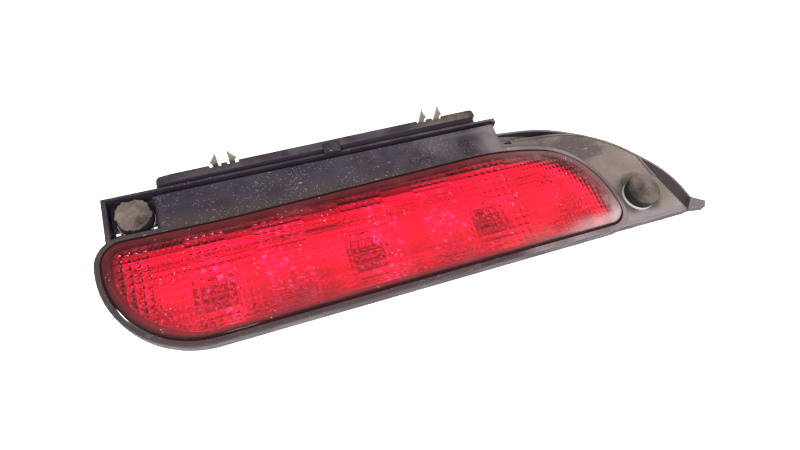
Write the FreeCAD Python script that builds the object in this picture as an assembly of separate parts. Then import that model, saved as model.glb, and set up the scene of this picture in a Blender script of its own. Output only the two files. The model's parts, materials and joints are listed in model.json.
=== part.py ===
import FreeCAD, Part
import math
import os

# Third brake light of a vehicle's rear door, lying on its back with the lens up.
# All sizes are in millimetres. The plan below has X along the lamp and Y across it, towards the rail.
# Every shape is built in plan coordinates and moved at the end, so that the finished lamp stands on
# Z = 0 with its bounding box centred on the Z axis.

os.makedirs("parts", exist_ok=True)

# ---- driving dimensions -------------------------------------------------------------------------
LENGTH = 330.0          # overall length, end of the rim to the tip lug
RIM_Z = 42.0            # height of the rim, the plate and the rail above the resting plane
PLAN_LEFT = -0.4        # plan X of the left end
PLAN_FRONT = 1.6        # plan Y of the front edge
PLAN_BACK = 98.6        # plan Y of the back of the seal strip's ledge

SKIN = 2.4              # wall of the mounting frame
THIN = 1.5              # thin walls and ribs
LENS_GAP = 0.4          # clearance round the lens
RIM_WIDTH = 2.8         # rim round the lens
RIM_DEPTH = 7.0         # visible front wall

LENS_SKIRT = 9.0        # depth of the lens's wall below the rim plane
LENS_WALL = 2.4
LENS_CROWN = 1.8        # crown of the lens above the rim
LENS_ROOF = 2.2         # thickness of the lens's face
CROWN_RADIUS = 380.0

SEAL_HEIGHT = 1.0
FLANGE_Z = RIM_Z - LENS_SKIRT - SEAL_HEIGHT      # top of the housing's flange
FLANGE_THICK = 2.5
REAR_WALL_Z = 12.0      # underside of the housing's rear wall
REAR_WALL_THICK = 2.2
HOUSING_WALL = 2.0

# Bulb axes in plan, one per optical module.
BULB_CENTRES = ((51.0, 34.0), (133.0, 35.5), (208.0, 36.0))

# Twist-in holder.
NECK_RADIUS = 9.5
HOLE_RADIUS = NECK_RADIUS + 0.3
TAB_RADIUS = 12.2
TAB_WIDTH = 6.0
TAB_COUNT = 3
UNLOCK_ANGLE = 45.0     # turn from locked to free
HEAD_RADIUS = 13.5
HEAD_Z = 8.4            # underside of the holder's round head
GRIP_Z = 1.6            # underside of the connector shroud
SOCKET_SIZE = (13.6, 8.0)
SOCKET_DEPTH = 9.6
SHROUD_WALL = 1.4

# Wedge bulb.
BULB_RADIUS = 5.0
BULB_TOP_Z = 38.0
WEDGE_SIZE = (9.4, 2.5)
WEDGE_Z = 13.4          # bottom of the glass wedge
ENVELOPE_Z = 22.5       # where the wedge becomes the round envelope

# Reflector.
FOCAL_LENGTH = 9.0
BOWL_VERTEX_Z = 14.0
REFLECTOR_SKIN = 1.5
BOWL_HOLE_RADIUS = 13.2

# Rail, strip and clips.
RAIL_LEFT = (6.4, 90.6)
RAIL_RIGHT = (228.0, 92.0)
LIP_THICK = 1.4
SLOT_WIDTH = 2.8
SLOT_DEPTH = 6.0
STRIP_X = (34.0, 215.0)
STRIP_Y = (93.0, 98.2)
STRIP_TOP_Z = RIM_Z + 0.8
LEDGE_Z = RIM_Z - 5.6
LEDGE_TILT = 1.5        # the ledge, strip and clips rise towards the wing by this angle
CLIP_CENTRES = (69.6, 187.6)
CLIP_Y = (96.6, 98.5)
PRONG_PITCH = 9.4
PRONG_WIDTH = 4.6
PRONG_THICK = 1.3
PRONG_TOP_Z = RIM_Z + 11.2
PRONG_ROOT_Z = LEDGE_Z + 3.0
CLIP_HALF = PRONG_PITCH / 2 + PRONG_WIDTH / 2 + 2.2
CLIP_BASE_TOP = PRONG_ROOT_Z - 1.4
YOKE_TOP = PRONG_ROOT_Z + 1.6

# Buffers.
BUFFER_RADIUS = 9.8
BUFFER_HEIGHT = 6.6
WASHER_THICK = 1.4
POST_RADIUS = 3.0
POST_REACH = 14.0       # length of the post below its panel
WING_Z = RIM_Z - 1.5    # top of the wing panel
POCKET_Z = RIM_Z - 8.0  # top of the pocket's floor
BUFFER_SEATS = {"left": (20.7, 78.4, POCKET_Z), "right": (291.8, 21.0, WING_Z)}

# Screws that hold the housing in the frame.
SCREW_SPOTS = ((62.0, 76.5), (128.0, 77.5), (196.0, 79.0), (272.0, 63.0))
SCREW_RADIUS = 1.5
SCREW_HEAD_RADIUS = 3.8
SCREW_HEAD_HEIGHT = 2.2
BOSS_RADIUS = 4.0

# Outline of the lens, counter-clockwise: X, Y and corner radius.
LENS_OUTLINE = (
    (2.8, 4.4, 46.0),
    (278.4, 7.1, 10.3),
    (274.7, 34.0, 52.0),
    (262.4, 59.5, 37.0),
    (224.6, 69.3, 150.0),
    (62.5, 64.4, 400.0),
    (2.8, 65.0, 11.4),
)

# Outline of the wing at the right end, with the skirt's long curve.
WING_OUTLINE = (
    (222.0, 4.2, 1.0),
    (318.0, 4.6, 1.0),
    (324.0, 10.0, 2.0),
    (320.5, 30.4, 52.0),
    (293.8, 60.1, 75.0),
    (257.1, 78.5, 95.0),
    (222.0, 81.6, 1.0),
)
SKIRT_WALL = 1.3
SKIRT_DEPTH = 12.0

# Edge of the wing's flat panel, which meets the skirt only in the middle of the curve.
PANEL_OUTLINE = (
    (222.0, 3.0, 1.0),
    (318.0, 3.0, 1.0),
    (307.6, 37.0, 50.0),
    (305.5, 50.5, 6.0),
    (286.0, 66.5, 6.0),
    (262.0, 72.8, 80.0),
    (222.0, 75.6, 1.0),
)

RIDGE_WIDTH = 1.1
RIDGE_HEIGHT = 0.6

# Floor of the channel between the panel and the skirt, as X and Z below the panel's top.
RAMP_PROFILE = ((222.0, 0.8), (262.0, 7.5), (262.0, 9.0), (222.0, 2.4))

TIP_LUG = ((316.0, 4.4), (327.2, 2.9), (329.6, 6.4), (322.0, 11.0))
MIN_RADIUS = 0.4


# ---- plan geometry ------------------------------------------------------------------------------
def vec(x, y, z=0.0):
    return FreeCAD.Vector(x, y, z)


def unit(start, end):
    """Unit direction in plan from one corner to the next."""
    dx = end[0] - start[0]
    dy = end[1] - start[1]
    size = math.hypot(dx, dy)
    return dx / size, dy / size


def inset_corners(outline, inset):
    """Corners of a counter-clockwise outline whose edges have all moved inwards by inset."""
    moved = []
    count = len(outline)
    for index in range(count):
        corner = outline[index]
        incoming = unit(outline[index - 1], corner)
        outgoing = unit(corner, outline[(index + 1) % count])
        cosine = incoming[0] * outgoing[0] + incoming[1] * outgoing[1]
        sine = incoming[0] * outgoing[1] - incoming[1] * outgoing[0]
        shift = inset / (1.0 + cosine)
        x = corner[0] - shift * (incoming[1] + outgoing[1])
        y = corner[1] + shift * (incoming[0] + outgoing[0])
        radius = corner[2] - inset if sine > 0 else corner[2] + inset
        moved.append((x, y, max(radius, MIN_RADIUS)))
    return moved


def rounded_wire(outline, z, inset=0.0):
    """Closed wire at height z: straight sides joined by tangent arcs."""
    corners = inset_corners(outline, inset)
    count = len(corners)
    stops = []
    for index in range(count):
        corner = corners[index]
        back = unit(corner, corners[index - 1])
        ahead = unit(corner, corners[(index + 1) % count])
        half = 0.5 * math.acos(back[0] * ahead[0] + back[1] * ahead[1])
        reach = corner[2] / math.tan(half)
        bulge = corner[2] / math.sin(half) - corner[2]
        middle = unit((0.0, 0.0), (back[0] + ahead[0], back[1] + ahead[1]))
        stops.append((
            vec(corner[0] + back[0] * reach, corner[1] + back[1] * reach, z),
            vec(corner[0] + middle[0] * bulge, corner[1] + middle[1] * bulge, z),
            vec(corner[0] + ahead[0] * reach, corner[1] + ahead[1] * reach, z),
        ))
    edges = []
    for index in range(count):
        first, middle, last = stops[index]
        edges.append(Part.Arc(first, middle, last).toShape())
        edges.append(Part.LineSegment(last, stops[(index + 1) % count][0]).toShape())
    return Part.Wire(edges)


def prism(outline, low, high, inset=0.0):
    """Upright solid on a rounded outline."""
    return Part.Face(rounded_wire(outline, low, inset)).extrude(vec(0, 0, high - low))


def tapered(outline, low, low_inset, high, high_inset):
    """Solid whose outline changes from one inset to another."""
    wires = [rounded_wire(outline, low, low_inset), rounded_wire(outline, high, high_inset)]
    return Part.makeLoft(wires, True, True)


def polygon(points, low, high):
    """Upright solid on a plain polygon."""
    corners = [vec(x, y, low) for x, y in points]
    return Part.Face(Part.makePolygon(corners + corners[:1])).extrude(vec(0, 0, high - low))


def block(x_span, y_span, z_span):
    size = [span[1] - span[0] for span in (x_span, y_span, z_span)]
    return Part.makeBox(*size, vec(x_span[0], y_span[0], z_span[0]))


def cylinder(radius, centre, low, high):
    return Part.makeCylinder(radius, high - low, vec(centre[0], centre[1], low))


def tube(outer, inner, centre, low, high):
    return cylinder(outer, centre, low, high).cut(cylinder(inner, centre, low, high))


def joined(shapes):
    """One solid from overlapping shapes, with the seams between them removed."""
    return shapes[0].fuse(shapes[1:]).removeSplitter()


def rail_y(x):
    """Outer face of the rail's lip, which runs at a slight angle to the lamp."""
    slope = (RAIL_RIGHT[1] - RAIL_LEFT[1]) / (RAIL_RIGHT[0] - RAIL_LEFT[0])
    return RAIL_LEFT[1] + slope * (x - RAIL_LEFT[0])


def rail_band(x_span, outer, inner, low, high):
    """Bar parallel to the rail, between two distances inside the lip's outer face."""
    start, end = x_span
    points = (
        (start, rail_y(start) - inner),
        (end, rail_y(end) - inner),
        (end, rail_y(end) - outer),
        (start, rail_y(start) - outer),
    )
    return polygon(points, low, high)


def tilted(shape):
    """Shape turned about a Y axis through the left clip, as the ledge is."""
    moved = shape.copy()
    moved.rotate(vec(CLIP_CENTRES[0], 0.0, LEDGE_Z), vec(0, 1, 0), -LEDGE_TILT)
    return moved


FOOT_HALF = 1.3         # half the width of a clip's foot


# ---- mounting frame -----------------------------------------------------------------------------
PLATE_END_X = 225.0
ROLL_X = 31.0           # where the plate rolls down into the pocket
ROLL_RADIUS = 4.0


def frame_rim():
    outset = LENS_GAP + RIM_WIDTH
    rim = prism(LENS_OUTLINE, RIM_Z - RIM_DEPTH, RIM_Z, -outset)
    edge = [item for item in rim.Edges if item.BoundBox.ZMin > RIM_Z - 0.01]
    return rim.makeFillet(0.7, edge)


def frame_plate():
    """Plate between the lens and the rail, with the roll at its left end."""
    inner = LIP_THICK + SLOT_WIDTH
    sheet_x = ROLL_X + 5.0
    points = (
        (sheet_x, 58.0),
        (PLATE_END_X, 60.0),
        (PLATE_END_X, rail_y(PLATE_END_X) - inner),
        (sheet_x, rail_y(sheet_x) - inner),
    )
    sheet = polygon(points, RIM_Z - SKIN, RIM_Z)
    roll = block((ROLL_X, ROLL_X + 6.0), (58.0, rail_y(ROLL_X) - inner), (POCKET_Z - SKIN, RIM_Z))
    corner = [item for item in roll.Edges
              if item.BoundBox.XMax < ROLL_X + 0.01 and item.BoundBox.ZMin > RIM_Z - 0.01]
    return joined([sheet, roll.makeFillet(ROLL_RADIUS, corner)])


def frame_rail():
    """Lip, slot floor and the wall that closes the slot on the plate's side."""
    ends = (RAIL_LEFT[0], RAIL_RIGHT[0])
    inner_ends = (ROLL_X, PLATE_END_X)
    wall = LIP_THICK + SLOT_WIDTH
    lip = rail_band(ends, 0.0, LIP_THICK, RIM_Z - 10.0, RIM_Z)
    floor = rail_band(inner_ends, 0.0, wall + THIN, RIM_Z - SLOT_DEPTH - THIN, RIM_Z - SLOT_DEPTH)
    inner = rail_band(inner_ends, wall, wall + THIN, RIM_Z - SLOT_DEPTH - THIN, RIM_Z - 0.5)
    flare_x = RAIL_RIGHT[0]
    flare_y = rail_y(flare_x)
    flare = polygon(
        ((flare_x - 4.0, flare_y - LIP_THICK), (flare_x, flare_y - 3.2), (flare_x, flare_y)),
        RIM_Z - 10.0, RIM_Z)
    return [lip, floor, inner, flare]


RIB_SPOTS = (50.0, 95.0, 145.0, 161.0, 205.0)
PLATE_RIBS = (84.0, 106.0, 150.0, 172.0, 212.0)
WING_RIBS = (282.0, 303.0)
WEDGE_HOLE = ((226.4, 73.6), (232.4, 72.4), (231.4, 75.4))
DRAIN_HOLES = ((9.6, 72.6), (27.2, 72.0))
DRAIN_SIZE = (2.6, 2.4)
CUT_TOP = RIM_Z + 5.0        # height that every through cut reaches
TAB_X = (123.0, 132.2)
TAB_BACK_Y = STRIP_Y[0] + 2.8
TAB_LOW_Z = RIM_Z - 1.2
TAB_TOP_Z = RIM_Z + 2.3


def frame_ledge():
    """Shelf outside the lip that carries the seal strip and the clips, with its ribs and the strip's tab."""
    front = rail_y(STRIP_X[0]) - 0.8
    shelf = block((STRIP_X[0] - 1.0, STRIP_X[1] + 1.0), (front, PLAN_BACK), (LEDGE_Z - SKIN, LEDGE_Z))
    ribs = []
    for x in RIB_SPOTS:
        ribs.append(block((x, x + THIN), (rail_y(x) - 0.6, PLAN_BACK - 2.0),
                          (RIM_Z - 12.0, LEDGE_Z - SKIN + 0.2)))
    tab = block(TAB_X, (rail_y(TAB_X[0]) - LIP_THICK, TAB_BACK_Y), (TAB_LOW_Z, TAB_TOP_Z))
    return [tilted(item) for item in [shelf] + ribs] + [tab]


def frame_pocket():
    """Deep pocket at the left end: floor and left wall. The rim, roll and lip close the other sides."""
    left = RAIL_LEFT[0]
    wall = polygon(((left, 56.0), (left + SKIN, 56.0), (left + SKIN, rail_y(left)), (left, rail_y(left))),
                   RIM_Z - 12.0, RIM_Z)
    floor = polygon(((left, 56.0), (ROLL_X + 3.0, 56.0), (ROLL_X + 3.0, rail_y(ROLL_X)),
                     (left, rail_y(left))), POCKET_Z - SKIN, POCKET_Z)
    return [wall, floor]


def wing_panel():
    """Flat panel of the wing with the ridge along its edge."""
    region = prism(WING_OUTLINE, WING_Z - SKIN, WING_Z)
    panel = region.common(prism(PANEL_OUTLINE, WING_Z - SKIN, WING_Z))
    ridge = prism(PANEL_OUTLINE, WING_Z - 0.2, WING_Z + RIDGE_HEIGHT)
    ridge = ridge.cut(prism(PANEL_OUTLINE, 0.0, CUT_TOP, RIDGE_WIDTH))
    ridge = ridge.common(prism(WING_OUTLINE, 0.0, RIM_Z))
    ridge = ridge.common(block((234.0, LENGTH), (30.0, 100.0), (0.0, RIM_Z)))
    return [panel, ridge]


def wing_skirt():
    """Skirt beyond the panel, the sloping channel floor inside it and the tip lug."""
    skirt = prism(WING_OUTLINE, WING_Z + 0.5 - SKIRT_DEPTH, WING_Z + 0.5)
    skirt = skirt.cut(prism(WING_OUTLINE, 0.0, CUT_TOP, SKIRT_WALL))
    skirt = skirt.cut(block((200.0, PLATE_END_X - 1.0), (0.0, 100.0), (0.0, CUT_TOP)))
    skirt = skirt.cut(block((200.0, LENGTH), (0.0, 9.0), (0.0, RIM_Z - RIM_DEPTH)))
    corners = [vec(x, 66.0, WING_Z - drop) for x, drop in RAMP_PROFILE]
    ramp = Part.Face(Part.makePolygon(corners + corners[:1])).extrude(vec(0, 20, 0))
    ramp = ramp.common(prism(WING_OUTLINE, 0.0, RIM_Z, SKIRT_WALL / 2))
    lug = polygon(TIP_LUG, WING_Z - SKIN, RIM_Z + 0.8)
    return [skirt, ramp, lug]


def frame_bosses():
    """Screw bosses under the plate and the wing."""
    return [cylinder(BOSS_RADIUS, spot, FLANGE_Z, RIM_Z - SKIN) for spot in SCREW_SPOTS]


def frame_ribs():
    """Stiffening ribs under the plate and under the wing."""
    ribs = []
    for x in PLATE_RIBS:
        ribs.append(block((x, x + THIN), (68.0, rail_y(x) - 5.0), (RIM_Z - 8.0, RIM_Z - SKIN + 0.1)))
    for x in WING_RIBS:
        ribs.append(block((x, x + THIN), (5.0, 34.0), (WING_Z - 8.0, WING_Z - SKIN + 0.1)))
    return ribs


def mounting_frame():
    solids = [frame_rim(), frame_plate()]
    solids += frame_rail() + frame_ledge() + frame_pocket()
    solids += wing_panel() + wing_skirt() + frame_bosses() + frame_ribs()
    body = joined(solids)
    body = body.cut(prism(LENS_OUTLINE, 0.0, CUT_TOP, -LENS_GAP))
    # The slot between the lip and the plate stays open along its whole length.
    body = body.cut(rail_band((ROLL_X + 6.0, PLATE_END_X + 0.5), LIP_THICK, LIP_THICK + SLOT_WIDTH,
                              RIM_Z - SLOT_DEPTH, RIM_Z + 1.0))
    cuts = [polygon(WEDGE_HOLE, 0.0, CUT_TOP)]
    for x, y in DRAIN_HOLES:
        cuts.append(block((x, x + DRAIN_SIZE[0]), (y, y + DRAIN_SIZE[1]),
                          (POCKET_Z - SKIN - 1.0, POCKET_Z + 1.0)))
    for x, y, top in BUFFER_SEATS.values():
        cuts.append(cylinder(POST_RADIUS + 0.05, (x, y), top - 12.0, top + 1.0))
    for spot in SCREW_SPOTS:
        cuts.append(cylinder(SCREW_RADIUS + 0.05, spot, FLANGE_Z - 1.0, FLANGE_Z + 7.0))
    for centre in CLIP_CENTRES:
        for side in (-1, 1):
            x = centre + side * PRONG_PITCH / 2
            notch = block((x - FOOT_HALF - 0.2, x + FOOT_HALF + 0.2), (CLIP_Y[0] - 0.1, PLAN_BACK + 1.0),
                          (LEDGE_Z - SKIN - 2.0, LEDGE_Z + 1.0))
            cuts.append(tilted(notch))
    for cutter in cuts:
        body = body.cut(cutter)
    return body


# ---- lens, seal, housing and reflector ----------------------------------------------------------
def crown_cylinder(drop):
    """Long cylinder along X whose top is the crown of the lens, lowered by drop."""
    radius = CROWN_RADIUS - drop
    top = RIM_Z + LENS_CROWN - drop
    return Part.makeCylinder(radius, LENGTH + 40.0, vec(-20.0, 36.0, top - radius), vec(1, 0, 0))


def lens():
    low = RIM_Z - LENS_SKIRT
    outer = prism(LENS_OUTLINE, low, RIM_Z + 6.0).common(crown_cylinder(0.0))
    top_edges = [item for item in outer.Edges if item.BoundBox.ZMin > RIM_Z - 2.0]
    outer = outer.makeFillet(1.1, top_edges)
    inner = prism(LENS_OUTLINE, low - 1.0, RIM_Z + 6.0, LENS_WALL).common(crown_cylinder(LENS_ROOF))
    return outer.cut(inner)


def lens_seal():
    low = FLANGE_Z
    return prism(LENS_OUTLINE, low, low + SEAL_HEIGHT, 0.2).cut(
        prism(LENS_OUTLINE, low, low + SEAL_HEIGHT, LENS_WALL))


HOUSING_TOP_INSET = 3.6
HOUSING_LOW_INSET = 8.0


def housing_outer():
    taper = tapered(LENS_OUTLINE, REAR_WALL_Z, HOUSING_LOW_INSET, FLANGE_Z - 0.5, HOUSING_TOP_INSET)
    skirt = prism(LENS_OUTLINE, 0.0, REAR_WALL_Z, HOUSING_LOW_INSET)
    return joined([skirt, taper])


def housing_inner():
    floor = REAR_WALL_Z + REAR_WALL_THICK
    return tapered(LENS_OUTLINE, floor, HOUSING_LOW_INSET + HOUSING_WALL, FLANGE_Z + 0.5,
                   HOUSING_TOP_INSET + HOUSING_WALL)


def keyed_hole(centre):
    """Round hole with one notch for each tab, a part turn away from the locked place."""
    cutter = cylinder(HOLE_RADIUS, centre, REAR_WALL_Z - 1.0, REAR_WALL_Z + REAR_WALL_THICK + 1.0)
    half = TAB_WIDTH / 2 + 0.5
    notches = []
    for index in range(TAB_COUNT):
        notch = block((0.0, TAB_RADIUS + 0.5), (-half, half),
                      (REAR_WALL_Z - 1.0, REAR_WALL_Z + REAR_WALL_THICK + 1.0))
        notch.rotate(vec(0, 0), vec(0, 0, 1), 90.0 + index * 360.0 / TAB_COUNT + UNLOCK_ANGLE)
        notch.translate(vec(centre[0], centre[1]))
        notches.append(notch)
    return joined([cutter] + notches)


def lamp_housing():
    flange_low = FLANGE_Z - FLANGE_THICK
    flange = prism(LENS_OUTLINE, flange_low, FLANGE_Z)
    ears = []
    for x, y in SCREW_SPOTS:
        ears.append(cylinder(BOSS_RADIUS + 0.6, (x, y), flange_low, FLANGE_Z))
        toward = (x - 10.0, y - 14.0) if x > 250.0 else (x, y - 16.0)
        bridge = Part.makeBox(9.2, math.dist((x, y), toward), FLANGE_THICK, vec(-4.6, 0.0, flange_low))
        bridge.rotate(vec(0, 0), vec(0, 0, 1), math.degrees(math.atan2(toward[1] - y, toward[0] - x)) - 90.0)
        bridge.translate(vec(x, y))
        ears.append(bridge)
    body = joined([flange, housing_outer()] + ears)
    body = body.cut(housing_inner())
    skirt_hollow = prism(LENS_OUTLINE, -1.0, REAR_WALL_Z, HOUSING_LOW_INSET + HOUSING_WALL)
    ribs = []
    for x in (92.0, 170.0, 247.0):
        ribs.append(block((x, x + THIN), (0.0, 80.0), (2.0, REAR_WALL_Z + 0.5)).common(skirt_hollow))
    body = body.cut(skirt_hollow)
    body = joined([body] + ribs)
    for centre in BULB_CENTRES:
        body = body.cut(keyed_hole(centre))
        stops = []
        for angle in STOP_ANGLES:
            stop = block((HEAD_RADIUS + 0.8, HEAD_RADIUS + 3.4), (-1.0, 1.0),
                         (REAR_WALL_Z - 3.4, REAR_WALL_Z + 0.5))
            stop.rotate(vec(0, 0), vec(0, 0, 1), angle)
            stop.translate(vec(centre[0], centre[1]))
            stops.append(stop)
        body = joined([body] + stops)
    for spot in SCREW_SPOTS:
        body = body.cut(cylinder(SCREW_RADIUS + 0.3, spot, flange_low - 1.0, FLANGE_Z + 1.0))
    return body.cut(cylinder(VENT_RADIUS, VENT_CENTRE, REAR_WALL_Z - 1.0, REAR_WALL_Z + 4.0))


def bowl(centre, drop):
    """Paraboloid bowl around a bulb, moved outwards by drop along its axis."""
    vertex = BOWL_VERTEX_Z - drop
    top = FLANGE_Z + 6.0
    steps = 12
    outer_radius = math.sqrt(4.0 * FOCAL_LENGTH * (top - vertex))
    profile = []
    for index in range(steps + 1):
        radius = outer_radius * index / steps
        profile.append(vec(radius, 0.0, vertex + radius * radius / (4.0 * FOCAL_LENGTH)))
    curve = Part.BSplineCurve()
    curve.interpolate(profile)
    edges = [
        curve.toShape(),
        Part.LineSegment(profile[-1], vec(0.0, 0.0, top)).toShape(),
        Part.LineSegment(vec(0.0, 0.0, top), profile[0]).toShape(),
    ]
    solid = Part.Face(Part.Wire(edges)).revolve(vec(0, 0), vec(0, 0, 1), 360.0)
    solid.translate(vec(centre[0], centre[1]))
    return solid


def reflector():
    """Metallised shell: a flat flange with one bowl sunk in it for each bulb."""
    top = FLANGE_Z + REFLECTOR_SKIN
    room = tapered(LENS_OUTLINE, REAR_WALL_Z + REAR_WALL_THICK + 0.5, HOUSING_LOW_INSET + HOUSING_WALL + 0.4,
                   FLANGE_Z, HOUSING_TOP_INSET + HOUSING_WALL + 0.2)
    flange = prism(LENS_OUTLINE, FLANGE_Z, top, LENS_WALL + 0.4)
    outside = joined([bowl(centre, REFLECTOR_SKIN * 1.2) for centre in BULB_CENTRES])
    inside = joined([bowl(centre, 0.0) for centre in BULB_CENTRES])
    shell = joined([flange, outside.common(room)])
    shell = shell.cut(inside)
    for centre in BULB_CENTRES:
        shell = shell.cut(cylinder(BOWL_HOLE_RADIUS, centre, 0.0, FLANGE_Z - 8.0))
    return shell


# ---- bulb holders and bulbs ---------------------------------------------------------------------
STOP_HALF = 2.0
LUG_ANGLE = -150.0      # the holder's stop lug at rest
STOP_ANGLES = (LUG_ANGLE - 14.0, LUG_ANGLE + UNLOCK_ANGLE + 14.0)
SEAL_WIRE = 0.9
WEB_Z = GRIP_Z + SOCKET_DEPTH       # inner end of the connector socket
BLADE_SIZE = (0.8, 2.8)
BLADE_PITCH = 8.4


def placed(shape, centre):
    moved = shape.copy()
    moved.translate(vec(centre[0], centre[1]))
    return moved


def oblong(size, low, high, radius):
    """Upright bar with rounded corners, centred on the axis."""
    half_x = size[0] / 2
    half_y = size[1] / 2
    outline = (
        (-half_x, -half_y, radius),
        (half_x, -half_y, radius),
        (half_x, half_y, radius),
        (-half_x, half_y, radius),
    )
    return prism(outline, low, high)


def bulb_holder():
    origin = (0.0, 0.0)
    head_top = REAR_WALL_Z - 0.5
    neck_top = ENVELOPE_Z - 2.5
    head = cylinder(HEAD_RADIUS, origin, HEAD_Z, head_top)
    neck = cylinder(NECK_RADIUS, origin, HEAD_Z, neck_top)
    shroud_size = (SOCKET_SIZE[0] + 2 * SHROUD_WALL, SOCKET_SIZE[1] + 2 * SHROUD_WALL)
    shroud = oblong(shroud_size, GRIP_Z, HEAD_Z + 0.5, 2.4)
    solids = [head, neck, shroud]
    for side in (-1, 1):
        wing = block((-0.9, 0.9), (0.0, HEAD_RADIUS - 0.6), (GRIP_Z + 2.0, HEAD_Z + 0.5))
        wing.rotate(vec(0, 0), vec(0, 0, 1), 90.0 - 90.0 * side)
        solids.append(wing)
    tab_low = REAR_WALL_Z + REAR_WALL_THICK + 0.3
    for index in range(TAB_COUNT):
        tab = block((NECK_RADIUS - 2.0, TAB_RADIUS), (-TAB_WIDTH / 2, TAB_WIDTH / 2), (tab_low, tab_low + 1.8))
        tab.rotate(vec(0, 0), vec(0, 0, 1), 90.0 + index * 360.0 / TAB_COUNT)
        solids.append(tab)
    lug = block((HEAD_RADIUS - 1.0, HEAD_RADIUS + 2.4), (-STOP_HALF, STOP_HALF), (HEAD_Z, head_top))
    lug.rotate(vec(0, 0), vec(0, 0, 1), LUG_ANGLE)
    solids.append(lug)
    body = joined(solids)
    body = body.cut(oblong(SOCKET_SIZE, GRIP_Z - 1.0, WEB_Z, 1.2))
    # Slot for the glass wedge, with room at both ends for the contact springs.
    body = body.cut(oblong((WEDGE_SIZE[0] + 4.4, WEDGE_SIZE[1] + 0.8), WEDGE_Z - 0.4, neck_top + 1.0, 0.8))
    groove = tube(NECK_RADIUS + 2.6, NECK_RADIUS, origin, head_top - 1.2, head_top + 0.1)
    body = body.cut(groove)
    for side in (-1, 1):
        x = side * BLADE_PITCH / 2
        body = body.cut(block((x - BLADE_SIZE[0] / 2, x + BLADE_SIZE[0] / 2),
                              (-BLADE_SIZE[1] / 2, BLADE_SIZE[1] / 2), (WEB_Z - 1.0, WEDGE_Z)))
    return body


def holder_seal():
    """Flat-sided rubber ring in the groove of the holder's head."""
    head_top = REAR_WALL_Z - 0.5
    return tube(NECK_RADIUS + 2.4, NECK_RADIUS + 0.1, (0.0, 0.0), head_top - 1.2, REAR_WALL_Z - 0.15)


def terminal(side):
    """Brass terminal: blade in the socket, shank through the web, spring beside the wedge."""
    x = side * BLADE_PITCH / 2
    half = BLADE_SIZE[0] / 2
    blade = block((x - half, x + half), (-BLADE_SIZE[1] / 2, BLADE_SIZE[1] / 2), (GRIP_Z + 2.0, WEDGE_Z + 0.6))
    spring_x = side * (WEDGE_SIZE[0] / 2 + 1.3)
    spring = block((spring_x - 0.3, spring_x + 0.3), (-1.3, 1.3), (WEDGE_Z, ENVELOPE_Z - 3.5))
    foot_ends = sorted((x, spring_x))
    foot = block((foot_ends[0] - 0.3, foot_ends[1] + 0.3), (-1.3, 1.3), (WEDGE_Z - 0.4, WEDGE_Z + 0.2))
    return joined([blade, foot, spring])


LEAD_OFFSET = 1.6
LEAD_RADIUS = 0.25


def bulb_filament():
    """Two lead wires through the wedge and the coil bar between their tips."""
    top = ENVELOPE_Z + 7.0
    solids = [cylinder(LEAD_RADIUS, (side * LEAD_OFFSET, 0.0), WEDGE_Z + 0.8, top) for side in (-1, 1)]
    bar = Part.makeCylinder(0.4, 2 * LEAD_OFFSET + 0.6, vec(-LEAD_OFFSET - 0.3, 0.0, top), vec(1, 0, 0))
    return joined(solids + [bar])


def bulb_glass():
    origin = (0.0, 0.0)
    wall = 0.6
    dome_z = BULB_TOP_Z - BULB_RADIUS
    envelope = cylinder(BULB_RADIUS, origin, ENVELOPE_Z, dome_z)
    dome = Part.makeSphere(BULB_RADIUS, vec(0, 0, dome_z))
    shoulder = Part.makeCone(2.4, BULB_RADIUS, 2.0, vec(0, 0, ENVELOPE_Z - 2.0))
    wedge = oblong(WEDGE_SIZE, WEDGE_Z + 0.8, ENVELOPE_Z - 0.4, 1.0)
    glass = joined([envelope, dome, shoulder, wedge])
    hollow = joined([
        cylinder(BULB_RADIUS - wall, origin, ENVELOPE_Z + wall, dome_z),
        Part.makeSphere(BULB_RADIUS - wall, vec(0, 0, dome_z)),
    ])
    glass = glass.cut(hollow)
    for side in (-1, 1):
        glass = glass.cut(cylinder(LEAD_RADIUS, (side * LEAD_OFFSET, 0.0), 0.0, ENVELOPE_Z + 5.0))
    return glass


# ---- vent, screws, buffers, strip and clips -----------------------------------------------------
VENT_CENTRE = (236.0, 28.0)
VENT_RADIUS = 3.0


def vent_cap():
    """Push-in breather on the rear wall, with a domed head."""
    head = cylinder(5.6, VENT_CENTRE, REAR_WALL_Z - 3.2, REAR_WALL_Z)
    head = head.makeFillet(0.8, [item for item in head.Edges if item.BoundBox.ZMax < REAR_WALL_Z - 3.0])
    neck = cylinder(VENT_RADIUS, VENT_CENTRE, REAR_WALL_Z - 1.0, REAR_WALL_Z + REAR_WALL_THICK + 0.6)
    body = joined([head, neck])
    body = body.cut(cylinder(1.6, VENT_CENTRE, REAR_WALL_Z - 2.2, REAR_WALL_Z + 5.0))
    return body.cut(block((VENT_CENTRE[0] - 8.0, VENT_CENTRE[0] + 8.0),
                          (VENT_CENTRE[1] - 0.6, VENT_CENTRE[1] + 0.6),
                          (REAR_WALL_Z - 3.3, REAR_WALL_Z - 2.0)))


def vent_membrane():
    return cylinder(1.6, VENT_CENTRE, REAR_WALL_Z + 0.4, REAR_WALL_Z + 0.8)


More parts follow.
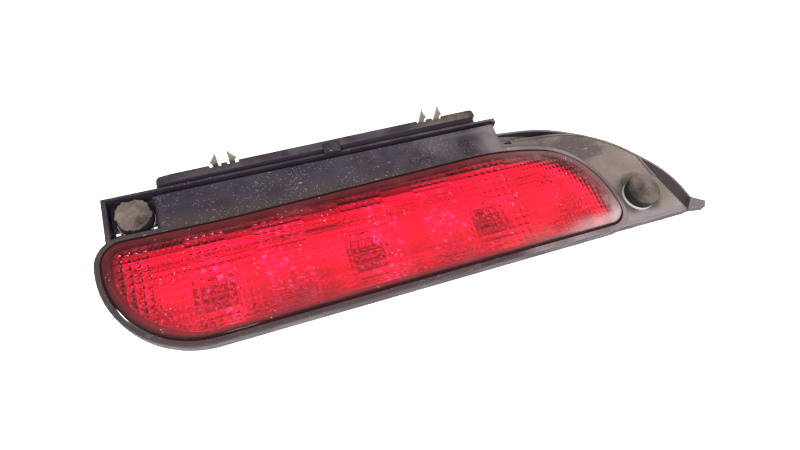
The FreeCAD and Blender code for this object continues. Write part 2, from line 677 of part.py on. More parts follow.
def housing_screws():
    screws = []
    low = FLANGE_Z - FLANGE_THICK
    for spot in SCREW_SPOTS:
        head = cylinder(SCREW_HEAD_RADIUS, spot, low - SCREW_HEAD_HEIGHT, low)
        head = head.makeFillet(1.2, [item for item in head.Edges if item.BoundBox.ZMax < low - 1.0])
        shank = cylinder(SCREW_RADIUS, spot, low - 0.5, FLANGE_Z + 6.5)
        screw = joined([head, shank])
        for angle in (0.0, 90.0):
            arm = block((-2.0, 2.0), (-0.5, 0.5), (low - SCREW_HEAD_HEIGHT - 1.0, low - SCREW_HEAD_HEIGHT + 1.3))
            arm.rotate(vec(0, 0), vec(0, 0, 1), angle)
            screw = screw.cut(placed(arm, spot))
        screws.append(screw)
    return Part.makeCompound(screws)


def buffer_pad(seat):
    x, y, top = seat
    low = top + WASHER_THICK
    pad = cylinder(BUFFER_RADIUS, (x, y), low, low + BUFFER_HEIGHT)
    pad = pad.makeFillet(0.8, [item for item in pad.Edges if item.BoundBox.ZMin > low + BUFFER_HEIGHT - 0.1])
    return pad.cut(cylinder(POST_RADIUS, (x, y), low - 1.0, low + 4.0))


def buffer_washer(seat):
    x, y, top = seat
    return tube(BUFFER_RADIUS - 0.4, POST_RADIUS, (x, y), top, top + WASHER_THICK)


def buffer_post(seat):
    x, y, top = seat
    post = cylinder(POST_RADIUS, (x, y), top - SKIN - POST_REACH, top + WASHER_THICK + 4.0)
    lead_in = [item for item in post.Edges if item.BoundBox.ZMax < top - SKIN - POST_REACH + 0.1]
    post = post.makeChamfer(0.8, lead_in)
    collar = tube(POST_RADIUS + 2.2, POST_RADIUS - 0.5, (x, y), top - SKIN - 1.6, top - SKIN)
    return joined([post, collar])


def prong_centres(centre):
    return [centre + side * PRONG_PITCH / 2 for side in (-1, 1)]


def seal_strip():
    """Foam strip on the ledge: rounded ends, a thinner left end, and room for the clips at its back."""
    outline = (
        (STRIP_X[0], STRIP_Y[0], 1.0),
        (STRIP_X[1], STRIP_Y[0], 1.0),
        (STRIP_X[1], STRIP_Y[1], 2.4),
        (STRIP_X[0], STRIP_Y[1], 2.4),
    )
    strip = prism(outline, LEDGE_Z, STRIP_TOP_Z)
    top = [item for item in strip.Edges if item.BoundBox.ZMin > STRIP_TOP_Z - 0.1]
    strip = strip.makeFillet(0.9, top)
    end_x = STRIP_X[0]
    corners = [vec(x, STRIP_Y[0] - 1.0, z) for x, z in (
        (end_x - 1.0, STRIP_TOP_Z - 1.7), (end_x + 12.0, STRIP_TOP_Z),
        (end_x + 12.0, STRIP_TOP_Z + 1.0), (end_x - 1.0, STRIP_TOP_Z + 1.0))]
    wedge = Part.Face(Part.makePolygon(corners + corners[:1])).extrude(vec(0, 8, 0))
    strip = strip.cut(wedge)
    front = CLIP_Y[0] - 0.2
    for centre in CLIP_CENTRES:
        strip = strip.cut(block((centre - CLIP_HALF - 0.4, centre + CLIP_HALF + 0.4), (front, PLAN_BACK),
                                (LEDGE_Z - 1.0, YOKE_TOP + 0.3)))
        for x in prong_centres(centre):
            half = PRONG_WIDTH / 2 + 0.8
            strip = strip.cut(block((x - half, x + half), (front, PLAN_BACK), (LEDGE_Z, STRIP_TOP_Z + 1.0)))
    strip = tilted(strip)
    return strip.cut(block((TAB_X[0] - 0.3, TAB_X[1] + 0.3), (STRIP_Y[0] - 1.0, TAB_BACK_Y + 0.3),
                           (TAB_LOW_Z - 0.3, RIM_Z + 10.0)))


def rail_clip(centre):
    """Nylon base on the ledge, with a foot through it and a yoke for each prong's root."""
    base = block((centre - CLIP_HALF, centre + CLIP_HALF), CLIP_Y, (LEDGE_Z, CLIP_BASE_TOP))
    solids = [base]
    for x in prong_centres(centre):
        solids.append(block((x - FOOT_HALF, x + FOOT_HALF), (CLIP_Y[0] + 0.1, CLIP_Y[1]),
                            (LEDGE_Z - SKIN - 1.6, LEDGE_Z + 0.2)))
        for side in (-1, 1):
            wall_x = x + side * (PRONG_WIDTH / 2 + 1.3)
            solids.append(block((wall_x - 0.6, wall_x + 0.6), CLIP_Y, (LEDGE_Z, YOKE_TOP)))
    return tilted(joined(solids))


def clip_prong(x, outward):
    """Barbed prong: a blade that tapers to a point, with its barb on the outward side."""
    y_mid = (CLIP_Y[0] + CLIP_Y[1]) / 2
    half = PRONG_WIDTH / 2
    root = PRONG_ROOT_Z - 1.0
    barb_z = PRONG_TOP_Z - 8.2
    points = (
        (-half * 0.8, root),
        (half * 0.55, root),
        (half * 0.55, barb_z),
        (half, barb_z + 0.7),
        (-half * 0.15, PRONG_TOP_Z - 3.0),
        (-half * 0.55, PRONG_TOP_Z),
        (-half * 0.75, PRONG_TOP_Z - 0.6),
    )
    corners = [vec(x + outward * px, y_mid - PRONG_THICK / 2, pz) for px, pz in points]
    blade = Part.Face(Part.makePolygon(corners + corners[:1])).extrude(vec(0, PRONG_THICK, 0))
    window = Part.makeCylinder(0.55, 8.0, vec(x, y_mid - 4.0, barb_z + 2.0), vec(0, 1, 0))
    return tilted(blade.cut(window))


# Side of each prong that its barb is on: 1 towards the wing, -1 away from it.
PRONG_BARBS = {
    "clip_prong_left_a": -1,
    "clip_prong_left_b": 1,
    "clip_prong_right_a": 1,
    "clip_prong_right_b": 1,
}


# ---- assembly -----------------------------------------------------------------------------------
def all_parts():
    parts = {
        "mounting_frame": mounting_frame(),
        "lens": lens(),
        "lens_seal": lens_seal(),
        "lamp_housing": lamp_housing(),
        "reflector": reflector(),
        "vent_cap": vent_cap(),
        "vent_membrane": vent_membrane(),
        "housing_screws": housing_screws(),
        "seal_strip": seal_strip(),
    }
    for index, centre in enumerate(BULB_CENTRES, start=1):
        parts["bulb_holder_%d" % index] = placed(bulb_holder(), centre)
        parts["holder_seal_%d" % index] = placed(holder_seal(), centre)
        parts["terminal_live_%d" % index] = placed(terminal(1), centre)
        parts["terminal_earth_%d" % index] = placed(terminal(-1), centre)
        parts["bulb_glass_%d" % index] = placed(bulb_glass(), centre)
        parts["bulb_filament_%d" % index] = placed(bulb_filament(), centre)
    for side, seat in BUFFER_SEATS.items():
        parts["buffer_" + side] = buffer_pad(seat)
        parts["buffer_washer_" + side] = buffer_washer(seat)
        parts["buffer_post_" + side] = buffer_post(seat)
    for side, centre in zip(("left", "right"), CLIP_CENTRES):
        parts["rail_clip_" + side] = rail_clip(centre)
        for letter, x in zip("ab", prong_centres(centre)):
            name = "clip_prong_%s_%s" % (side, letter)
            parts[name] = clip_prong(x, PRONG_BARBS[name])
    return parts


def write_parts():
    centring = vec(-(PLAN_LEFT + LENGTH / 2), -(PLAN_FRONT + PLAN_BACK) / 2)
    for name, shape in all_parts().items():
        shape.translate(centring)
        shape.exportStep("parts/%s.step" % name)


write_parts()
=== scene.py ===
import json
import math

import bmesh
import bpy
import numpy as np
from mathutils import Matrix, Vector, noise


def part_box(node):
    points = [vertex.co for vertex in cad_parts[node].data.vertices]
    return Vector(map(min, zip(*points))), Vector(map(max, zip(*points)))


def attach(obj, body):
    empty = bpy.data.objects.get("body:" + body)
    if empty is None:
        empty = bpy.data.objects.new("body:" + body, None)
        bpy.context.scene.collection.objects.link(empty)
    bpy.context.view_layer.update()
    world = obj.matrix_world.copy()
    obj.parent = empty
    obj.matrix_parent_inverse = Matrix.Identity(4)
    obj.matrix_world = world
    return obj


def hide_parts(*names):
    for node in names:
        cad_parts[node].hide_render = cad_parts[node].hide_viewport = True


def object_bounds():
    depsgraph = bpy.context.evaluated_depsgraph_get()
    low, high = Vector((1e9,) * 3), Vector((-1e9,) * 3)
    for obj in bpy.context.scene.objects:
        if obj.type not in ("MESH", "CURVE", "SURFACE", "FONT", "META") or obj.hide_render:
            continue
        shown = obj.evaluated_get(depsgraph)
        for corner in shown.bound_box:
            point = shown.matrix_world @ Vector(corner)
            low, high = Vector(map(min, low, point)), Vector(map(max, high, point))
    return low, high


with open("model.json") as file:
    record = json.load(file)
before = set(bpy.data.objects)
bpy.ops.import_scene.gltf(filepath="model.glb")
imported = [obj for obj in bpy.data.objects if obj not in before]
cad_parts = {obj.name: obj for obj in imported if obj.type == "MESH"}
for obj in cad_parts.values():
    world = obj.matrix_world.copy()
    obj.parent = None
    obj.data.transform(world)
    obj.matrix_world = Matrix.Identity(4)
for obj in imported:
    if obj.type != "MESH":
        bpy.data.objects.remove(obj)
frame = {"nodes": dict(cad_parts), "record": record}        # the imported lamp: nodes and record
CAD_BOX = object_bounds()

# ---- sizes --------------------------------------------------------------------------------------
# Plan coordinates are in millimetres: X along the lamp from its left end, Y across it, Z up from
# the plane it lies on. The plan's origin is 0.4 mm inside the left end and 98.6 mm in front of the back.
MM = 0.001
ORIGIN = Vector((CAD_BOX[0].x + 0.4 * MM, CAD_BOX[1].y - 98.6 * MM, 0.0))
RIM_Z = 42.0

# Outline of the lens, counter-clockwise: X, Y and corner radius.
LENS_OUTLINE = (
    (2.8, 4.4, 46.0),
    (278.4, 7.1, 10.3),
    (274.7, 34.0, 52.0),
    (262.4, 59.5, 37.0),
    (224.6, 69.3, 150.0),
    (62.5, 64.4, 400.0),
    (2.8, 65.0, 11.4),
)
MIN_RADIUS = 0.4
WELD = 1e-6               # points closer than this, in metres, become one
LENS_WALL = 2.4
LENS_ROOF = 2.2
LENS_CROWN = 1.8
CROWN_RADIUS = 380.0
CROWN_Y = 36.0
LENS_EDGE_RADIUS = 1.1
LENS_FOOT_Z = 33.0

BUFFER_RIGHT = (291.8, 21.0)
BUFFER_LEFT = (20.7, 78.4)
BULBS = ((51.0, 34.0), (133.0, 35.5), (208.0, 36.0))


def place(x, y, z):
    """Point of the shared frame, in metres, for plan coordinates in millimetres."""
    return ORIGIN + Vector((x, y, z)) * MM


# ---- plan geometry ------------------------------------------------------------------------------
def inset_corners(outline, insets):
    """Corners of an outline whose edges have moved inwards. Edge i runs from corner i to corner i + 1."""
    count = len(outline)
    moved = []
    for i in range(count):
        corner = np.array(outline[i][:2])
        before = corner - np.array(outline[i - 1][:2])
        after = np.array(outline[(i + 1) % count][:2]) - corner
        before /= np.linalg.norm(before)
        after /= np.linalg.norm(after)
        sine = before[0] * after[1] - before[1] * after[0]
        normal_before = np.array((-before[1], before[0]))
        normal_after = np.array((-after[1], after[0]))
        rows = np.array((normal_before, normal_after))
        shift = np.linalg.solve(rows, np.array((insets[i - 1], insets[i])))
        mean = 0.5 * (insets[i - 1] + insets[i])
        radius = outline[i][2] - mean if sine > 0 else outline[i][2] + mean
        moved.append((*(corner + shift), max(radius, MIN_RADIUS)))
    return moved


def outline_loop(outline, insets, arc_steps=20, side_steps=24):
    """Points round a rounded outline, the same number for every inset."""
    if not hasattr(insets, "__len__"):
        insets = [insets] * len(outline)
    corners = inset_corners(outline, insets)
    count = len(corners)
    arcs = []
    for i in range(count):
        corner = np.array(corners[i][:2])
        radius = corners[i][2]
        back = np.array(corners[i - 1][:2]) - corner
        ahead = np.array(corners[(i + 1) % count][:2]) - corner
        back /= np.linalg.norm(back)
        ahead /= np.linalg.norm(ahead)
        half = 0.5 * math.acos(float(back @ ahead))
        middle = (back + ahead) / np.linalg.norm(back + ahead)
        centre = corner + middle * radius / math.sin(half)
        start = corner + back * radius / math.tan(half) - centre
        sweep = math.pi - 2.0 * half
        if back[0] * ahead[1] - back[1] * ahead[0] > 0:
            sweep = -sweep
        arc = []
        for step in range(arc_steps + 1):
            angle = sweep * step / arc_steps
            cosine, sine = math.cos(angle), math.sin(angle)
            turned = np.array((start[0] * cosine - start[1] * sine, start[0] * sine + start[1] * cosine))
            arc.append(centre + turned)
        arcs.append(arc)
    points = []
    for i in range(count):
        points.extend(arcs[i])
        first, last = arcs[i][-1], arcs[(i + 1) % count][0]
        for step in range(1, side_steps):
            points.append(first + (last - first) * step / side_steps)
    return np.array(points)


def edge_distance(points, loop):
    """Distance from each point to the nearest stretch of a closed loop."""
    starts = loop
    spans = np.roll(loop, -1, axis=0) - loop
    sizes = (spans ** 2).sum(1) + 1e-12
    nearest = np.full(len(points), 1e9)
    for start, span, size in zip(starts, spans, sizes):
        offset = points - start
        along = np.clip(offset @ span / size, 0.0, 1.0)
        gap = offset - along[:, None] * span
        nearest = np.minimum(nearest, (gap ** 2).sum(1))
    return np.sqrt(nearest)


def eased(count, edge, low, high):
    """Positions from low to high, close together near both ends."""
    t = np.linspace(0.0, 1.0, count)
    bent = t - edge * np.sin(2.0 * math.pi * t) / (2.0 * math.pi)
    return low + (high - low) * bent


def plan_grid(loop, columns, rows, edge=0.93):
    """Grid of plan points that fills a loop, column by column."""
    x_low, x_high = loop[:, 0].min(), loop[:, 0].max()
    xs = eased(columns, edge, x_low, x_high)
    nearly = 1e-4
    grid = np.zeros((columns, rows, 2))
    ring = np.vstack((loop, loop[:1]))
    for i, x in enumerate(np.clip(xs, x_low + nearly, x_high - nearly)):
        before, after = ring[:-1], ring[1:]
        crossing = (before[:, 0] - x) * (after[:, 0] - x) <= 0
        crossing &= np.abs(after[:, 0] - before[:, 0]) > 1e-9
        a, b = before[crossing], after[crossing]
        ys = a[:, 1] + (b[:, 1] - a[:, 1]) * (x - a[:, 0]) / (b[:, 0] - a[:, 0])
        grid[i, :, 0] = xs[i]
        grid[i, :, 1] = eased(rows, edge, ys.min(), ys.max())
    return grid


def grid_faces(columns, rows, start=0, upward=True):
    """Quads of a grid of points whose first index is start."""
    faces = []
    for i in range(columns - 1):
        for j in range(rows - 1):
            a = start + i * rows + j
            quad = (a, a + rows, a + rows + 1, a + 1)
            faces.append(quad if upward else quad[::-1])
    return faces


def grid_rim(columns, rows, start=0):
    """Indices round the edge of a grid, counter-clockwise seen from above."""
    rim = [start + i * rows for i in range(columns)]
    rim += [start + (columns - 1) * rows + j for j in range(1, rows)]
    rim += [start + i * rows + rows - 1 for i in range(columns - 2, -1, -1)]
    rim += [start + j for j in range(rows - 2, 0, -1)]
    return rim


def bridge(first, second):
    """Quads between two rims of equal length."""
    count = len(first)
    return [(first[i], first[(i + 1) % count], second[(i + 1) % count], second[i]) for i in range(count)]


def make_piece(name, points, faces, material, body, smooth=True):
    """Mesh object from plan points in millimetres, riding on a body."""
    mesh = bpy.data.meshes.new(name)
    mesh.from_pydata([place(*p) for p in points], [], faces)
    work = bmesh.new()
    work.from_mesh(mesh)
    bmesh.ops.remove_doubles(work, verts=work.verts, dist=WELD)
    bmesh.ops.dissolve_degenerate(work, edges=work.edges, dist=WELD)
    bmesh.ops.recalc_face_normals(work, faces=work.faces)
    work.to_mesh(mesh)
    work.free()
    if smooth:
        mesh.polygons.foreach_set("use_smooth", [True] * len(mesh.polygons))
    mesh.materials.append(material)
    piece = bpy.data.objects.new(name, mesh)
    bpy.context.scene.collection.objects.link(piece)
    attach(piece, body)
    return piece


# ---- materials ----------------------------------------------------------------------------------
class Shader:
    """Small helper that adds nodes to one material."""

    def __init__(self, name):
        self.material = bpy.data.materials.new(name)
        self.material.use_nodes = True
        self.tree = self.material.node_tree
        self.surface = self.tree.nodes["Principled BSDF"]
        self.output = self.tree.nodes["Material Output"]
        self.coords = self.node("ShaderNodeTexCoord").outputs["Object"]

    def node(self, kind, **settings):
        made = self.tree.nodes.new(kind)
        for key, value in settings.items():
            setattr(made, key, value)
        return made

    def link(self, source, target):
        self.tree.links.new(source, target)

    def set(self, **values):
        for key, value in values.items():
            self.surface.inputs[key.replace("_", " ")].default_value = value

    def stretched(self, scale):
        mapping = self.node("ShaderNodeMapping")
        mapping.inputs["Scale"].default_value = scale
        self.link(self.coords, mapping.inputs["Vector"])
        return mapping.outputs["Vector"]

    def noise(self, scale, detail=4.0, roughness=0.55, stretch=None):
        made = self.node("ShaderNodeTexNoise")
        made.inputs["Scale"].default_value = scale
        made.inputs["Detail"].default_value = detail
        made.inputs["Roughness"].default_value = roughness
        self.link(self.stretched(stretch) if stretch else self.coords, made.inputs["Vector"])
        return made.outputs["Fac"]

    def specks(self, scale, size):
        """Small round specks: 1 inside a speck and 0 outside it."""
        made = self.node("ShaderNodeTexVoronoi")
        made.inputs["Scale"].default_value = scale
        self.link(self.coords, made.inputs["Vector"])
        return self.ramp(made.outputs["Distance"], size, size * 0.6)

    def ramp(self, value, low, high):
        """Smooth step of value: 0 at low, 1 at high."""
        made = self.node("ShaderNodeMapRange", interpolation_type="SMOOTHSTEP")
        made.inputs["From Min"].default_value = low
        made.inputs["From Max"].default_value = high
        self.link(value, made.inputs["Value"])
        return made.outputs["Result"]

    def span(self, value, low, high):
        """Value between 0 and 1 spread over low to high."""
        made = self.node("ShaderNodeMapRange")
        made.inputs["To Min"].default_value = low
        made.inputs["To Max"].default_value = high
        self.link(value, made.inputs["Value"])
        return made.outputs["Result"]

    def maths(self, operation, first, second=None):
        made = self.node("ShaderNodeMath", operation=operation)
        for socket, item in zip(made.inputs, (first, second)):
            if item is None:
                continue
            if hasattr(item, "links"):
                self.link(item, socket)
            else:
                socket.default_value = item
        return made.outputs["Value"]

    def times(self, *values):
        product = values[0]
        for value in values[1:]:
            product = self.maths("MULTIPLY", product, value)
        return product

    def axis(self, which):
        """Plan coordinate of the surface in millimetres."""
        split = self.node("ShaderNodeSeparateXYZ")
        self.link(self.coords, split.inputs["Vector"])
        origin = {"X": ORIGIN.x, "Y": ORIGIN.y, "Z": 0.0}[which]
        return self.maths("MULTIPLY", self.maths("SUBTRACT", split.outputs[which], origin), 1.0 / MM)

    def upward(self):
        """1 on surfaces that face up, 0 on the others."""
        geometry = self.node("ShaderNodeNewGeometry")
        split = self.node("ShaderNodeSeparateXYZ")
        self.link(geometry.outputs["Normal"], split.inputs["Vector"])
        return self.ramp(split.outputs["Z"], 0.25, 0.95)

    def mix(self, factor, first, second):
        made = self.node("ShaderNodeMix", data_type="RGBA")
        for index, item in ((0, factor), (6, first), (7, second)):
            if hasattr(item, "links"):
                self.link(item, made.inputs[index])
            elif index == 0:
                made.inputs[index].default_value = item
            else:
                made.inputs[index].default_value = (*item, 1.0)
        return made.outputs[2]

    def colour(self, value):
        self.link(value, self.surface.inputs["Base Color"])

    def rough(self, value):
        self.link(value, self.surface.inputs["Roughness"])

    def bump(self, height, strength, distance):
        made = self.node("ShaderNodeBump")
        made.inputs["Strength"].default_value = strength
        made.inputs["Distance"].default_value = distance * MM
        self.link(height, made.inputs["Height"])
        self.link(made.outputs["Normal"], self.surface.inputs["Normal"])


def dusty_plastic(name, base, dust, amount, roughness=(0.42, 0.7), grain=900.0, speck=0.55):
    """Moulded plastic with fine grain, cloudy dust on its upward faces, scuffs and pale specks."""
    shader = Shader(name)
    cloud = shader.ramp(shader.noise(38.0, 6.0, 0.65), 0.35, 0.75)
    film = shader.times(cloud, shader.upward(), amount)
    streak = shader.ramp(shader.noise(60.0, 5.0, 0.6, stretch=(0.25, 3.0, 1.0)), 0.55, 0.78)
    film = shader.maths("MAXIMUM", film, shader.times(streak, shader.upward(), amount * 0.7))
    speckles = shader.times(
        shader.specks(420.0, 0.16),
        shader.ramp(shader.noise(70.0), 0.47, 0.6),
        shader.upward(), speck)
    tone = shader.mix(shader.noise(120.0, 3.0), [c * 0.82 for c in base], [c * 1.18 for c in base])
    tone = shader.mix(film, tone, dust)
    tone = shader.mix(speckles, tone, [min(1.0, d * 2.3) for d in dust])
    shader.colour(tone)
    shader.rough(shader.span(cloud, *roughness))
    shader.set(Specular_IOR_Level=0.28)
    relief = shader.maths("ADD", shader.noise(grain, 2.0), shader.times(speckles, 1.5))
    shader.bump(relief, 0.35, 0.12)
    return shader.material


def wing_tone(shader, x, y, cloud):
    """Sandy dirt of the wing, with dark patches, painted shade round the buffer and a paler front."""
    sandy = shader.mix(shader.noise(52.0, 7.0, 0.72), (0.06, 0.048, 0.042), (0.21, 0.17, 0.14))
    sandy = shader.mix(shader.ramp(x, 285.0, 250.0), sandy, (0.085, 0.068, 0.06))
    patch = shader.ramp(shader.noise(26.0, 5.0, 0.6, stretch=(0.8, 1.5, 1.0)), 0.45, 0.58)
    patch = shader.times(patch, shader.ramp(y, 44.0, 54.0))
    sandy = shader.mix(shader.times(patch, 0.8), sandy, (0.042, 0.032, 0.032))
    # Painted shade: a dark ring on the wing round the buffer's foot, darkest close to it.
    away_x = shader.maths("SUBTRACT", x, BUFFER_RIGHT[0])
    away_y = shader.maths("SUBTRACT", y, BUFFER_RIGHT[1])
    squared = shader.maths("ADD", shader.times(away_x, away_x), shader.times(away_y, away_y))
    away = shader.maths("SQRT", squared)
    buffer_shade = shader.times(shader.ramp(away, 16.0, 10.5), shader.span(cloud, 0.5, 0.95))
    sandy = shader.mix(buffer_shade, sandy, (0.03, 0.022, 0.018))
    front = shader.ramp(shader.maths("ADD", y, shader.times(cloud, 8.0)), 20.0, 10.0)
    return shader.mix(shader.times(front, 0.7), sandy, (0.17, 0.155, 0.17))


def frame_marks(shader, up):
    """Fine scratches and pale specks: 1 inside a mark and 0 outside it."""
    scratches = shader.ramp(shader.noise(620.0, 2.0, 0.5, stretch=(0.5, 1.4, 1.0)), 0.66, 0.7)
    scratches = shader.times(scratches, shader.ramp(shader.noise(50.0), 0.44, 0.6), up)
    specks = shader.times(shader.specks(820.0, 0.21), shader.ramp(shader.noise(85.0), 0.4, 0.56), up)
    return shader.maths("MAXIMUM", scratches, specks)


def frame_material():
    """Black moulding: purplish and dusty by the rail, brownish on the rim, sandy on the wing, with painted
    sheen at the plate's right end.
    """
    shader = Shader("frame_plastic_dusty")
    x = shader.axis("X")
    y = shader.axis("Y")
    z = shader.axis("Z")
    up = shader.upward()
    cloud = shader.ramp(shader.noise(34.0, 8.0, 0.68), 0.36, 0.66)
    streak = shader.ramp(shader.noise(48.0, 6.0, 0.62, stretch=(0.22, 2.6, 1.0)), 0.48, 0.74)
    base = shader.mix(shader.noise(150.0, 4.0), (0.011, 0.008, 0.013), (0.024, 0.017, 0.026))
    # The dust film grows towards the plate's right end: partly dust, partly painted sheen that rises to the
    # right.
    film = shader.times(shader.maths("MAXIMUM", cloud, streak), up,
                        shader.span(shader.ramp(x, 90.0, 225.0), 0.18, 0.8))
    dust = shader.mix(shader.noise(90.0, 3.0), (0.05, 0.038, 0.056), (0.085, 0.072, 0.08))
    tone = shader.mix(film, base, dust)
    # The rim and the walls below it are browner than the plate.
    rim = shader.ramp(shader.maths("SUBTRACT", 76.0, y), 0.0, 8.0)
    tone = shader.mix(shader.times(rim, 0.6), tone, (0.036, 0.024, 0.022))
    # Painted sheen: the plate's top turns pinkish grey towards its right end, broken up by the dust cloud.
    plate_sheen = shader.times(shader.ramp(x, 205.0, 224.0), up, shader.span(cloud, 0.45, 0.9))
    tone = shader.mix(plate_sheen, tone, (0.15, 0.122, 0.132))
    wing = shader.times(shader.ramp(z, RIM_Z - 0.7, RIM_Z - 1.1), shader.ramp(x, 222.0, 232.0), up)
    tone = shader.mix(shader.times(wing, 0.92), tone, wing_tone(shader, x, y, cloud))
    marks = frame_marks(shader, up)
    tone = shader.mix(shader.times(marks, 0.45), tone, (0.34, 0.29, 0.29))
    shader.colour(tone)
    shader.rough(shader.span(shader.maths("MAXIMUM", cloud, wing), 0.46, 0.74))
    shader.set(Specular_IOR_Level=0.16)
    relief = shader.maths("ADD", shader.noise(1400.0, 2.0), shader.times(marks, 0.8))
    shader.bump(relief, 0.3, 0.1)
    return shader.material


# Bands along X whose cells get painted pink glints, and the width over which each fades out.
GLINT_EDGE = 1.5
GLINT_COLUMNS = ((12.5, 23.5), (41.5, 62.0), (76.0, 101.0), (128.0, 150.0), (163.0, 186.0))


def glints(shader, x):
    """Painted glints: cells in columns tinted pink, standing in for cells that catch the light."""
    columns = 0.0
    for start, end in GLINT_COLUMNS:
        rise = shader.ramp(x, start, start + GLINT_EDGE)
        fall = shader.ramp(x, end, end - GLINT_EDGE)
        columns = shader.maths("MAXIMUM", columns, shader.times(rise, fall))
    chosen = shader.ramp(shader.noise(95.0, 3.0), 0.44, 0.5)
    return shader.times(columns, shader.specks(235.0, 0.42), chosen)


def acrylic(shader, x):
    """Clean red acrylic with painted pink glints. Lamp light passes through a tinted clear stand-in."""
    shader.set(Transmission_Weight=1.0, IOR=1.46)
    # Painted glints: pink cells in the red colour stand in for highlights.
    shader.colour(shader.mix(glints(shader, x), (0.99, 0.05, 0.15), (1.0, 0.36, 0.78)))
    haze = shader.ramp(shader.noise(26.0, 6.0, 0.65), 0.52, 0.8)
    shader.rough(shader.span(haze, 0.02, 0.09))
    rays = shader.node("ShaderNodeLightPath")
    clear = shader.node("ShaderNodeBsdfTransparent")
    clear.inputs["Color"].default_value = (0.992, 0.3, 0.44, 1.0)
    blend = shader.node("ShaderNodeMixShader")
    through = shader.maths("MAXIMUM", rays.outputs["Is Shadow Ray"], rays.outputs["Is Diffuse Ray"])
    shader.link(through, blend.inputs["Fac"])
    shader.link(shader.surface.outputs["BSDF"], blend.inputs[1])
    shader.link(clear.outputs["BSDF"], blend.inputs[2])
    return blend.outputs["Shader"]


def lens_material():
    """Red acrylic with dust along its edge, pale specks, a painted sheen at its bottom-right corner and
    painted shade along its edge.
    """
    shader = Shader("lens_red_acrylic")
    x = shader.axis("X")
    y = shader.axis("Y")
    clean = acrylic(shader, x)
    edge = shader.node("ShaderNodeAttribute", attribute_name="edge_mm").outputs["Fac"]
    top = shader.times(shader.upward(), shader.ramp(shader.axis("Z"), RIM_Z - 1.0, RIM_Z - 0.2))
    cloud = shader.noise(60.0, 7.0, 0.7)
    outer = shader.times(shader.ramp(edge, 6.5, 3.0), shader.span(cloud, 0.12, 0.45))
    inner = shader.times(shader.ramp(edge, 13.0, 5.0), shader.ramp(cloud, 0.36, 0.72), 0.4)
    film = shader.maths("MAXIMUM", outer, inner)
    film = shader.times(film, shader.span(shader.ramp(x, 40.0, 250.0), 0.72, 1.1))
    wiped = shader.noise(30.0, 6.0, 0.7, stretch=(0.5, 2.0, 1.0))
    smear = shader.times(shader.ramp(wiped, 0.5, 0.72), 0.07)
    film = shader.times(shader.maths("MAXIMUM", film, smear), top)
    # Painted sheen: a whitish patch at the lens's bottom-right corner, standing in for a reflection.
    sheen = shader.times(shader.ramp(x, 226.0, 262.0), shader.ramp(y, 30.0, 12.0),
                         shader.ramp(edge, 12.0, 4.0), shader.span(cloud, 0.2, 0.9), top)
    specks = shader.times(shader.specks(520.0, 0.15), shader.ramp(shader.noise(70.0), 0.5, 0.62), top)
    # Painted shade: a near-black band along the lens's edge, where it meets the rim.
    edge_shade = shader.ramp(edge, 1.7, 0.9)
    # Diffuse cover that carries the dust, the painted sheen and the painted edge shade.
    dust = shader.node("ShaderNodeBsdfDiffuse")
    tone = shader.mix(cloud, (0.14, 0.02, 0.024), (0.25, 0.05, 0.055))
    tone = shader.mix(shader.ramp(x, 190.0, 262.0), tone, (0.27, 0.16, 0.15))
    # The painted sheen and the dust specks turn pale.
    tone = shader.mix(shader.maths("MAXIMUM", sheen, specks), tone, (0.78, 0.62, 0.64))
    # The painted edge shade turns the band near black.
    tone = shader.mix(edge_shade, tone, (0.012, 0.004, 0.005))
    shader.link(tone, dust.inputs["Color"])
    # The painted edge shade covers the clean acrylic almost fully.
    film = shader.maths("MAXIMUM", film, shader.times(edge_shade, 0.92))
    cover = shader.maths("MAXIMUM", film, shader.maths("MAXIMUM", shader.times(sheen, 0.8),
                                                       shader.times(specks, 0.6)))
    layered = shader.node("ShaderNodeMixShader")
    shader.link(cover, layered.inputs["Fac"])
    shader.link(clean, layered.inputs[1])
    shader.link(dust.outputs["BSDF"], layered.inputs[2])
    shader.link(layered.outputs["Shader"], shader.output.inputs["Surface"])
    return shader.material


def reflector_material():
    """Vacuum-metallised plastic whose coat has gone milky, so part of it scatters."""
    shader = Shader("reflector_metallised")
    shader.set(Metallic=0.8)
    haze = shader.noise(60.0, 5.0, 0.6)
    shader.colour(shader.mix(haze, (0.8, 0.78, 0.78), (0.96, 0.94, 0.93)))
    shader.rough(shader.span(haze, 0.07, 0.2))
    return shader.material


def flange_material():
    """Pale moulded margin round the metallised area."""
    shader = Shader("reflector_margin")
    x = shader.axis("X")
    shade = shader.mix(shader.noise(55.0, 5.0), (0.1, 0.1, 0.1), (0.22, 0.21, 0.21))
    light = shader.mix(shader.noise(45.0, 5.0), (0.3, 0.29, 0.28), (0.5, 0.48, 0.46))
    shader.colour(shader.mix(shader.ramp(x, 150.0, 250.0), shade, light))
    shader.rough(shader.span(shader.noise(80.0), 0.35, 0.55))
    shader.bump(shader.noise(500.0, 3.0), 0.3, 0.1)
    return shader.material


